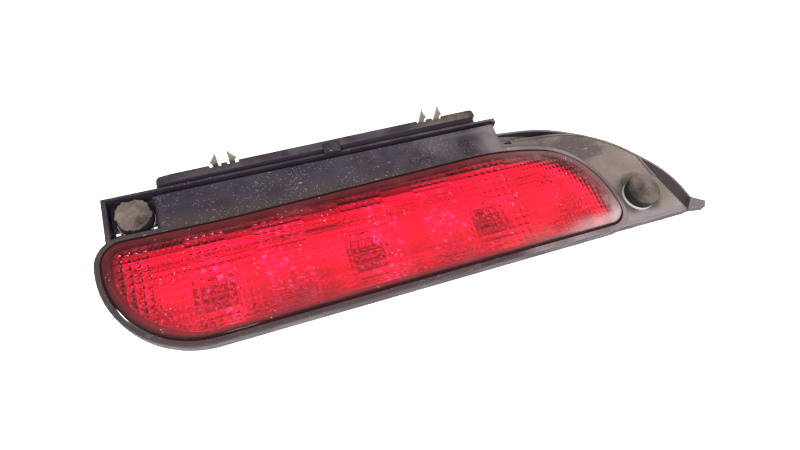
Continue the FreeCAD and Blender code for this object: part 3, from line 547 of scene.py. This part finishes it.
def foam_material():
    """Closed-cell foam: dark face, dusty top, tan patch at the end by the wing."""
    shader = Shader("foam_closed_cell")
    x = shader.axis("X")
    pores = shader.noise(500.0, 5.0, 0.7)
    cloud = shader.ramp(shader.noise(30.0, 6.0, 0.68), 0.38, 0.66)
    tone = shader.mix(pores, (0.012, 0.008, 0.013), (0.026, 0.019, 0.028))
    film = shader.times(cloud, shader.upward(), 0.6)
    dust = shader.mix(shader.noise(90.0), (0.05, 0.04, 0.052), (0.085, 0.07, 0.06))
    tone = shader.mix(film, tone, dust)
    tan = shader.times(shader.ramp(x, 176.0, 206.0), cloud, shader.upward(), 0.8)
    tone = shader.mix(tan, tone, (0.12, 0.085, 0.055))
    shader.colour(tone)
    shader.rough(shader.span(pores, 0.78, 0.96))
    shader.set(Specular_IOR_Level=0.15)
    shader.bump(shader.maths("ADD", pores, shader.times(shader.noise(70.0, 3.0), 3.0)), 0.7, 0.5)
    return shader.material


def rubber_material(name, base, dust, amount, scale=220.0):
    """Soft matt rubber: open texture, dust on its upward faces."""
    shader = Shader(name)
    pores = shader.noise(scale, 5.0, 0.7)
    film = shader.times(shader.ramp(shader.noise(48.0, 6.0, 0.65), 0.3, 0.7), shader.upward(), amount)
    tone = shader.mix(pores, [c * 0.7 for c in base], [c * 1.3 for c in base])
    shader.colour(shader.mix(film, tone, dust))
    shader.rough(shader.span(pores, 0.75, 0.95))
    shader.set(Specular_IOR_Level=0.25)
    shader.bump(pores, 0.6, 0.35)
    return shader.material


def metal_material(name, light, dark, roughness):
    """Metal with fine marks along its height."""
    shader = Shader(name)
    brushed = shader.noise(400.0, 4.0, 0.6, stretch=(1.0, 1.0, 0.2))
    shader.set(Metallic=1.0)
    shader.colour(shader.mix(brushed, dark, light))
    shader.rough(shader.span(brushed, roughness - 0.08, roughness + 0.12))
    shader.bump(brushed, 0.15, 0.05)
    return shader.material


def nylon_material():
    """Natural nylon gone grey: milky tips, brown dirt down at the roots."""
    shader = Shader("clip_nylon_natural")
    shade = shader.noise(160.0, 4.0)
    height = shader.axis("Z")
    clean = shader.mix(shade, (0.15, 0.125, 0.1), (0.27, 0.235, 0.19))
    dirty = shader.mix(shade, (0.03, 0.022, 0.016), (0.07, 0.052, 0.036))
    shader.colour(shader.mix(shader.ramp(height, RIM_Z + 0.5, RIM_Z + 5.0), dirty, clean))
    shader.rough(shader.span(shade, 0.3, 0.5))
    shader.set(Transmission_Weight=0.25, Subsurface_Weight=0.25, Subsurface_Scale=0.0015)
    shader.bump(shader.noise(700.0, 2.0), 0.2, 0.06)
    return shader.material


def bulb_glass_material():
    """Clear glass that casts no shadow."""
    shader = Shader("bulb_glass_clear")
    shader.set(Base_Color=(0.97, 0.97, 0.97, 1.0), Transmission_Weight=1.0, IOR=1.45)
    shader.rough(shader.span(shader.noise(80.0), 0.0, 0.04))
    rays = shader.node("ShaderNodeLightPath")
    clear = shader.node("ShaderNodeBsdfTransparent")
    blend = shader.node("ShaderNodeMixShader")
    shader.link(rays.outputs["Is Shadow Ray"], blend.inputs["Fac"])
    shader.link(shader.surface.outputs["BSDF"], blend.inputs[1])
    shader.link(clear.outputs["BSDF"], blend.inputs[2])
    shader.link(blend.outputs["Shader"], shader.output.inputs["Surface"])
    return shader.material


def floor_material():
    """Pale floor with a weak glow, so that it stays white."""
    shader = Shader("studio_floor")
    shader.colour(shader.mix(shader.noise(3.0, 2.0), (0.93, 0.93, 0.93), (0.96, 0.96, 0.955)))
    shader.set(Roughness=0.9, Specular_IOR_Level=0.1, Emission_Color=(1.0, 1.0, 1.0, 1.0))
    shader.set(Emission_Strength=0.4)
    return shader.material


# ---- optics -------------------------------------------------------------------------------------
# Distance from the lens's edge to the bright area, one per edge of the outline.
BRIGHT_INSET = (6.0, 6.5, 7.0, 7.5, 8.5, 8.5, 8.5)
WALL_SLOPE = 3.6          # how far the reflector's sides lean inwards, as the housing round it does
FLANGE_Z = 33.4
FLANGE_GAP = 0.4          # gap between the lens's wall and the flange
FLANGE_LIP = 1.4          # depth of the flange's turned-down outer edge
WALL_TAIL = 1.0           # how far the reflector's sides reach below the bowls
FOCAL = 9.0
STEP_HEIGHT = 4.0
BOWL_Z = 17.9
EDGE_PLAIN = 5.0          # plain margin of the lens outside the optics
EDGE_FADE = 0.8           # width over which the optics rise from that margin
HOLE_RADIUS = 10.2        # opening in the reflector round each bulb
LENS_GRID = (440, 106)    # grid points of the lens along X and Y
OPTIC_GRID = (420, 96)    # grid points of the reflector along X and Y
OPTIC_SKIN = 1.2          # thickness of the stepped reflector
SIDE_SKIN = 0.5           # thickness of its flange and wall
FACETS = (3.1, 4.2, 0.5)  # reflector pillows: pitch along X, pitch along Y, height

# Bands of the lens's inner side along X: end of the band, cell sizes along X and Y, cell depth.
CELL_BANDS = (
    (24.5, 4.2, 4.0, 1.2),
    (41.5, 2.8, 4.0, 0.6),
    (61.5, 4.0, 4.4, 1.2),
    (75.0, 2.8, 4.0, 0.65),
    (101.0, 4.3, 3.0, 1.1),
    (121.0, 2.8, 4.0, 0.7),
    (145.5, 4.0, 4.4, 1.2),
    (163.0, 2.8, 4.0, 0.7),
    (186.0, 4.3, 3.0, 1.0),
    (197.0, 2.8, 4.0, 0.7),
    (221.0, 4.0, 4.0, 1.1),
    (290.0, 2.3, 3.1, 0.7),
)


def pillow(x, y, pitch_x, pitch_y, height):
    """Grid of small convex pillows."""
    u = (x / pitch_x) % 1.0 * 2.0 - 1.0
    v = (y / pitch_y) % 1.0 * 2.0 - 1.0
    return height * (1.0 - u * u) * (1.0 - v * v)


def nearest_bulb(x, y):
    """Offsets of each point from the bulb whose module it belongs to."""
    centres = np.array(BULBS)
    index = np.abs(x[:, None] - centres[None, :, 0]).argmin(1)
    return x - centres[index, 0], y - centres[index, 1]


def lens_relief(x, y, distance):
    """Depth of the optics on the inside of the lens."""
    relief = np.zeros(len(x))
    start = 0.0
    for end, pitch_x, pitch_y, height in CELL_BANDS:
        inside = (x >= start) & (x < end)
        relief[inside] = pillow(x[inside] - start, y[inside], pitch_x, pitch_y, height)
        start = end
    return relief * np.clip((distance - EDGE_PLAIN) / EDGE_FADE, 0.0, 1.0)


def lens_top(y, distance):
    """Height of the lens's outer face: a crown across it and a rounded edge."""
    crown = RIM_Z + LENS_CROWN - CROWN_RADIUS + np.sqrt(CROWN_RADIUS ** 2 - (y - CROWN_Y) ** 2)
    inside = np.clip(LENS_EDGE_RADIUS - distance, 0.0, LENS_EDGE_RADIUS)
    return crown - LENS_EDGE_RADIUS + np.sqrt(LENS_EDGE_RADIUS ** 2 - inside ** 2)


def with_height(grid, heights):
    """Plan points of a grid with their heights."""
    flat = grid.reshape(-1, 2)
    return np.column_stack((flat, heights))


def build_lens(material):
    """Lens as one closed shell: smooth outside, pillow optics inside."""
    outer_loop = outline_loop(LENS_OUTLINE, 0.0)
    inner_loop = outline_loop(LENS_OUTLINE, LENS_WALL)
    columns, rows = LENS_GRID
    top = plan_grid(outer_loop, columns, rows, 0.9)
    bottom = plan_grid(inner_loop, columns, rows, 0.6)
    flat = top.reshape(-1, 2)
    top_points = with_height(top, lens_top(flat[:, 1], edge_distance(flat, outer_loop)))
    flat = bottom.reshape(-1, 2)
    inside = edge_distance(flat, inner_loop)
    clear_of_edge = np.full(len(flat), LENS_EDGE_RADIUS)
    roof = lens_top(flat[:, 1], clear_of_edge) - LENS_ROOF
    bottom_points = with_height(bottom, roof - lens_relief(flat[:, 0], flat[:, 1], inside + LENS_WALL))
    count = columns * rows
    faces = grid_faces(columns, rows) + grid_faces(columns, rows, count, upward=False)
    top_rim = grid_rim(columns, rows)
    bottom_rim = grid_rim(columns, rows, count)
    points = [tuple(p) for p in top_points] + [tuple(p) for p in bottom_points]
    outer_foot = list(range(len(points), len(points) + len(top_rim)))
    points += [(points[i][0], points[i][1], LENS_FOOT_Z) for i in top_rim]
    inner_foot = list(range(len(points), len(points) + len(bottom_rim)))
    points += [(points[i][0], points[i][1], LENS_FOOT_Z) for i in bottom_rim]
    faces += bridge(outer_foot, top_rim) + bridge(inner_foot, outer_foot) + bridge(bottom_rim, inner_foot)
    piece = make_piece("lens_shell", points, faces, material, "lamp")
    places = np.array([tuple(v.co) for v in piece.data.vertices])[:, :2]
    places = (places - np.array((ORIGIN.x, ORIGIN.y))) / MM
    edge = piece.data.attributes.new("edge_mm", "FLOAT", "POINT")
    edge.data.foreach_set("value", edge_distance(places, outer_loop))
    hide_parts("lens")


def bowl_height(x, y):
    """Stepped reflector: one parabola along and one across each module, cut into low steps."""
    dx, dy = nearest_bulb(x, y)
    along = dx ** 2 / (4.0 * FOCAL)
    across = dy ** 2 / (4.0 * FOCAL)
    height = BOWL_Z + along % STEP_HEIGHT + across % STEP_HEIGHT
    return height + pillow(x, y, *FACETS)


def build_optics(low_loop, bright):
    """Stepped floor of the reflector, with a round hole at each bulb."""
    columns, rows = OPTIC_GRID
    grid = plan_grid(low_loop, columns, rows, 0.3)
    flat = grid.reshape(-1, 2)
    top_points = with_height(grid, bowl_height(flat[:, 0], flat[:, 1]))
    points = [tuple(p) for p in top_points]
    keep = []
    for face in grid_faces(columns, rows):
        centre = flat[list(face)].mean(0)
        if min(math.dist(centre, bulb) for bulb in BULBS) > HOLE_RADIUS:
            keep.append(face)
    piece = make_piece("reflector_optics", points, keep, bright, "lamp", smooth=False)
    thick = piece.modifiers.new("thickness", "SOLIDIFY")
    thick.thickness = OPTIC_SKIN * MM
    thick.offset = -1.0
    return piece


def build_band(name, levels, material):
    """Thin band that runs through closed loops, each at its own height."""
    count = len(levels[0][0])
    points = []
    faces = []
    for ring, z in levels:
        points += [(p[0], p[1], z) for p in ring]
    for start in range(0, count * (len(levels) - 1), count):
        first = list(range(start, start + count))
        second = list(range(start + count, start + 2 * count))
        faces += bridge(first, second)
    band = make_piece(name, points, faces, material, "lamp")
    shell = band.modifiers.new("thickness", "SOLIDIFY")
    shell.thickness = SIDE_SKIN * MM


def build_reflector(bright, dull):
    """Metallised optics and sides in the bright area, and the dull flange round them."""
    loop = outline_loop(LENS_OUTLINE, BRIGHT_INSET)
    low_loop = outline_loop(LENS_OUTLINE, [inset + WALL_SLOPE for inset in BRIGHT_INSET])
    piece = build_optics(low_loop, bright)
    outer = outline_loop(LENS_OUTLINE, LENS_WALL + FLANGE_GAP)
    margin = ((outer, FLANGE_Z - FLANGE_LIP), (outer, FLANGE_Z), (loop, FLANGE_Z))
    sides = ((loop, FLANGE_Z), (low_loop, BOWL_Z - WALL_TAIL))
    build_band("reflector_flange", margin, dull)
    build_band("reflector_wall", sides, bright)
    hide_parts("reflector")


# ---- buffers ------------------------------------------------------------------------------------
BUFFER_RADIUS = 9.8
BUFFER_HEIGHT = 6.6
RING_SEGMENTS = 180
# Node, centre, and how far the top edge has crumbled.
BUFFERS = (("buffer_left", BUFFER_LEFT, 1.5), ("buffer_right", BUFFER_RIGHT, 0.15))


def build_buffer(node, centre, foot_z, fray, material):
    """Rubber puck with a worn rim. Fray is how far the top edge has crumbled, in millimetres."""
    # Share of the radius, and height in millimetres: up the side, then in across the top.
    profile = [(0.86, 0.0), (0.93, 0.0), (0.95, 0.4)]
    profile += [(0.95 + 0.03 * i / 8.0, 0.4 + (BUFFER_HEIGHT - 1.2) * i / 8.0) for i in range(1, 9)]
    profile += [(0.985, BUFFER_HEIGHT - 0.5), (0.965, BUFFER_HEIGHT - 0.15)]
    profile += [(0.95 - 0.95 * i / 16.0, BUFFER_HEIGHT - 0.05) for i in range(0, 16)]
    points = []
    for share, height in profile:
        lift = height / BUFFER_HEIGHT
        for segment in range(RING_SEGMENTS):
            angle = 2.0 * math.pi * segment / RING_SEGMENTS
            spot = Vector((math.cos(angle), math.sin(angle), 0.0))
            chips = noise.fractal(spot * 1.5 + Vector(centre).to_3d(), 0.6, 2.1, 5)
            reach = share * (BUFFER_RADIUS - fray * lift * (0.45 + chips))
            x = centre[0] + reach * spot.x
            y = centre[1] + reach * spot.y
            dent = 0.22 * lift * (noise.fractal(Vector((x, y, 0.0)) * 0.55, 0.7, 2.0, 4) - 0.4)
            points.append((x, y, foot_z + height + min(dent, 0.0) - 0.1 * lift))
    faces = []
    for start in range(0, len(points) - RING_SEGMENTS, RING_SEGMENTS):
        first = list(range(start, start + RING_SEGMENTS))
        second = list(range(start + RING_SEGMENTS, start + 2 * RING_SEGMENTS))
        faces += bridge(first, second)
    faces.append(tuple(range(len(points) - RING_SEGMENTS, len(points))))
    piece = make_piece(node + "_worn", points, faces, material, "lamp")
    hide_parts(node)


# ---- carried-over nodes -------------------------------------------------------------------------
def dress(node, material):
    """Give a CAD node its material in every slot."""
    piece = frame["nodes"][node]
    if not piece.material_slots:
        piece.data.materials.append(material)
    for slot in piece.material_slots:
        slot.material = material


def dress_all():
    """Materials by the record's slot names, given to every CAD node."""
    housing = dusty_plastic("housing_plastic_black", (0.02, 0.019, 0.021), (0.2, 0.19, 0.185), 0.5)
    holder = dusty_plastic("holder_nylon_grey", (0.2, 0.19, 0.18), (0.3, 0.28, 0.26), 0.35,
                           roughness=(0.3, 0.5), grain=1300.0)
    post = dusty_plastic("post_nylon_black", (0.03, 0.03, 0.03), (0.2, 0.18, 0.16), 0.4)
    washer = dusty_plastic("washer_nylon_grey", (0.42, 0.41, 0.39), (0.5, 0.46, 0.4), 0.5, speck=0.3)
    looks = {
        "frame_plastic": frame_material(),
        "housing_plastic": housing,
        "holder_plastic": holder,
        "post_plastic": post,
        "washer_grey": washer,
        "lens_red": lens_material(),
        "reflector_chrome": reflector_material(),
        "seal_black": rubber_material("seal_bead_black", (0.012, 0.006, 0.006), (0.05, 0.03, 0.03), 0.2),
        "foam": foam_material(),
        "holder_rubber": rubber_material("silicone_seal_ring", (0.2, 0.035, 0.02), (0.2, 0.1, 0.08), 0.2),
        "buffer_rubber": rubber_material("buffer_rubber_scuffed", (0.008, 0.006, 0.007),
                                         (0.13, 0.098, 0.08), 1.0, 380.0),
        "vent_rubber": rubber_material("vent_rubber_black", (0.02, 0.02, 0.02), (0.1, 0.1, 0.1), 0.3),
        "vent_mesh": rubber_material("vent_membrane_white", (0.6, 0.6, 0.58),
                                     (0.5, 0.5, 0.5), 0.2, 2500.0),
        "screw_steel": metal_material("screw_zinc_plated", (0.72, 0.71, 0.66), (0.5, 0.49, 0.45), 0.34),
        "terminal_brass": metal_material("terminal_tinned_brass", (0.75, 0.66, 0.42),
                                         (0.55, 0.45, 0.25), 0.3),
        "filament_wire": metal_material("filament_wire_grey", (0.5, 0.5, 0.5), (0.3, 0.3, 0.3), 0.35),
        "bulb_clear": bulb_glass_material(),
        "clip_nylon": nylon_material(),
    }
    for part in frame["record"]["subparts"]:
        dress(part["node"], looks[part["material_slot"]])
    return looks


# ---- studio -------------------------------------------------------------------------------------
FLOOR_REACH = 3.0         # metres from the middle of the floor to its edges
ROOM_NEAR = 1.25          # brightness of the room on the camera's side
ROOM_FAR = 0.3            # and on the far side
LIGHT_TARGET = Vector((0.0, 0.0, 0.03))
# Round area lights: name, position, size in metres, watts, colour.
LIGHTS = (
    ("key", (-0.75, -0.25, 0.95), 0.85, 16.0, (1.0, 0.99, 0.97)),
    ("fill", (0.75, -0.75, 0.7), 0.85, 9.0, (0.98, 0.99, 1.0)),
    ("spark", (-0.15, -0.75, 0.9), 0.1, 10.0, (1.0, 1.0, 1.0)),
)


def build_floor():
    """Square floor under the lamp."""
    mesh = bpy.data.meshes.new("floor")
    sides = ((-1, -1), (1, -1), (1, 1), (-1, 1))
    corners = [(x * FLOOR_REACH, y * FLOOR_REACH, 0.0) for x, y in sides]
    mesh.from_pydata(corners, [], [(0, 1, 2, 3)])
    mesh.materials.append(floor_material())
    floor = bpy.data.objects.new("floor", mesh)
    floor.location.z = CAD_BOX[0].z
    bpy.context.scene.collection.objects.link(floor)


def area_light(name, position, size, power, colour):
    """Round light aimed at the lamp."""
    data = bpy.data.lights.new(name, "AREA")
    data.shape = "DISK"
    data.size = size
    data.energy = power
    data.color = colour
    lamp = bpy.data.objects.new(name, data)
    lamp.location = position
    direction = LIGHT_TARGET - Vector(position)
    lamp.rotation_euler = direction.to_track_quat("-Z", "Y").to_euler()
    bpy.context.scene.collection.objects.link(lamp)


def build_lights():
    """Room that looks white but is dimmer on the far side, and the round lights."""
    world = bpy.data.worlds.new("studio")
    world.use_nodes = True
    tree = world.node_tree
    background = tree.nodes["Background"]
    background.inputs["Color"].default_value = (1.0, 1.0, 1.0, 1.0)
    # The room is dimmer on the far side, so that glossy faces do not veil over.
    split = tree.nodes.new("ShaderNodeSeparateXYZ")
    tree.links.new(tree.nodes.new("ShaderNodeTexCoord").outputs["Generated"], split.inputs["Vector"])
    fall = tree.nodes.new("ShaderNodeMapRange")
    fall.inputs["From Min"].default_value = -0.1
    fall.inputs["From Max"].default_value = 0.55
    fall.inputs["To Min"].default_value = ROOM_NEAR
    fall.inputs["To Max"].default_value = ROOM_FAR
    tree.links.new(split.outputs["Y"], fall.inputs["Value"])
    # Seen directly, the room is plain white all round.
    seen = tree.nodes.new("ShaderNodeMix")
    seen.data_type = "FLOAT"
    seen.inputs["B"].default_value = 1.0
    tree.links.new(tree.nodes.new("ShaderNodeLightPath").outputs["Is Camera Ray"], seen.inputs["Factor"])
    tree.links.new(fall.outputs["Result"], seen.inputs["A"])
    tree.links.new(seen.outputs["Result"], background.inputs["Strength"])
    bpy.context.scene.world = world
    for name, position, size, power, colour in LIGHTS:
        area_light(name, position, size, power, colour)


# Camera in plan millimetres, with its two picture axes.
CAMERA_AT = (72.6, -83.5, RIM_Z + 270.9)
CAMERA_RIGHT = Vector((0.940177, -0.316466, 0.126158))
CAMERA_UP = Vector((0.229537, 0.862054, 0.451858))
FOCAL_LENGTH = 26.0
SENSOR_WIDTH = 36.0


def build_camera():
    """Camera at the photograph's viewing angle."""
    data = bpy.data.cameras.new("camera")
    data.lens = FOCAL_LENGTH
    data.sensor_width = SENSOR_WIDTH
    data.clip_start = 0.01
    camera = bpy.data.objects.new("camera", data)
    backward = CAMERA_RIGHT.cross(CAMERA_UP)
    axes = Matrix((CAMERA_RIGHT, CAMERA_UP, backward)).transposed().to_4x4()
    camera.matrix_world = Matrix.Translation(place(*CAMERA_AT)) @ axes
    bpy.context.scene.collection.objects.link(camera)
    bpy.context.scene.camera = camera


def main():
    bpy.context.scene.view_settings.view_transform = "Standard"
    looks = dress_all()
    build_lens(looks["lens_red"])
    build_reflector(looks["reflector_chrome"], flange_material())
    for node, centre, fray in BUFFERS:
        foot_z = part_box(node)[0].z / MM
        build_buffer(node, centre, foot_z, fray, looks["buffer_rubber"])
    build_floor()
    build_lights()
    build_camera()


main()
